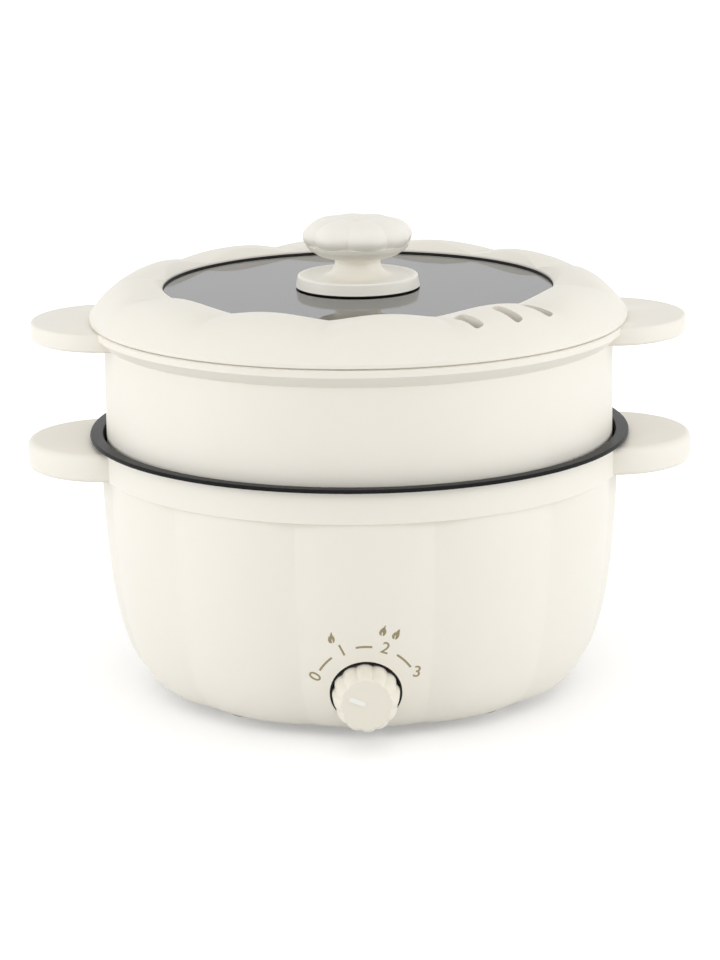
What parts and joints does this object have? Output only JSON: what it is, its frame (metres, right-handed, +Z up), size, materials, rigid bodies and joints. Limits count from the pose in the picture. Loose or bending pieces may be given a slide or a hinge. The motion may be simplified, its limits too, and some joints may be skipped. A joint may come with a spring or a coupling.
{
  "type": "electric hot pot with lid",
  "caption": "Countertop electric hot pot with a fluted housing, non-stick inner pot, lift-out steamer, petal-edged glass lid and a front dial.",
  "frame": {"origin": "on the surface it stands on, under the pot's axis", "axes": "+Z up along the pot's axis; -Y towards the user, where the dial is; +X to the right through one pair of handles"},
  "size_m": [0.3456, 0.2829, 0.2461],
  "materials": {
    "bare_aluminium": "die-cast aluminium, as cast",
    "black_nonstick": "satin non-stick coating on pressed aluminium",
    "black_plastic": "matt black moulded plastic",
    "black_rubber": "black silicone rubber",
    "cream_housing": "fine satin moulded polypropylene",
    "cream_trim": "smooth semi-gloss moulded plastic",
    "element_steel": "oxidised stainless tube",
    "foot_rubber": "pale silicone rubber",
    "lead_sleeve": "glass-fibre and silicone sleeve",
    "pointer_white": "smooth white plastic",
    "screw_steel": "zinc plated steel",
    "shield_steel": "galvanised sheet steel",
    "switch_phenolic": "dark phenolic moulding",
    "tempered_glass": "clear tempered glass, slightly smoked",
    "terminal_brass": "plain brass"
  },
  "bodies": {
    "base": {"inner_pot": "black_nonstick", "handle_collar": "cream_housing", "outer_shell": "cream_housing", "bottom_cover": "cream_housing", "rubber_feet": "foot_rubber", "foot_screws": "screw_steel", "heating_plate": "bare_aluminium", "heating_element": "element_steel", "heat_shield": "shield_steel", "tie_bolts": "screw_steel", "thermostat": "switch_phenolic", "thermal_fuse": "terminal_brass", "fuse_clip": "shield_steel", "rotary_switch": "switch_phenolic", "switch_terminals": "terminal_brass", "switch_screws": "screw_steel", "dial_bezel": "black_plastic", "power_inlet": "black_plastic", "inlet_pins": "terminal_brass", "inlet_screws": "screw_steel", "lead_cutout": "lead_sleeve", "lead_earth": "lead_sleeve", "lead_element": "lead_sleeve", "lead_fuse": "lead_sleeve", "lead_live": "lead_sleeve", "lead_neutral": "lead_sleeve"},
    "dial": {"switch_shaft": "screw_steel", "dial_knob": "cream_trim", "dial_pointer": "pointer_white"},
    "steamer": {"steamer_tray": "cream_housing"},
    "lid": {"lid_ring": "cream_housing", "glass_gasket": "black_rubber", "lid_glass": "tempered_glass", "glass_retainer": "cream_housing", "retainer_screws": "screw_steel", "knob_seal": "black_rubber", "knob_stem": "cream_trim", "knob_insert": "terminal_brass", "knob_cap": "cream_trim", "knob_washer": "screw_steel", "knob_screw": "screw_steel"}
  },
  "joints": [
    {"name": "dial_turn", "type": "hinge", "parent": "base", "child": "dial", "pos_m": [0, -0.13, 0.0292], "axis": [0, 1, 0], "range_deg": [0, 136]},
    {"name": "steamer_lift", "type": "slide", "parent": "base", "child": "steamer", "axis": [0, 0, 1], "range_m": [0, 0.1]},
    {"name": "lid_lift", "type": "slide", "parent": "steamer", "child": "lid", "axis": [0, 0, 1], "range_m": [0, 0.08]}
  ]
}
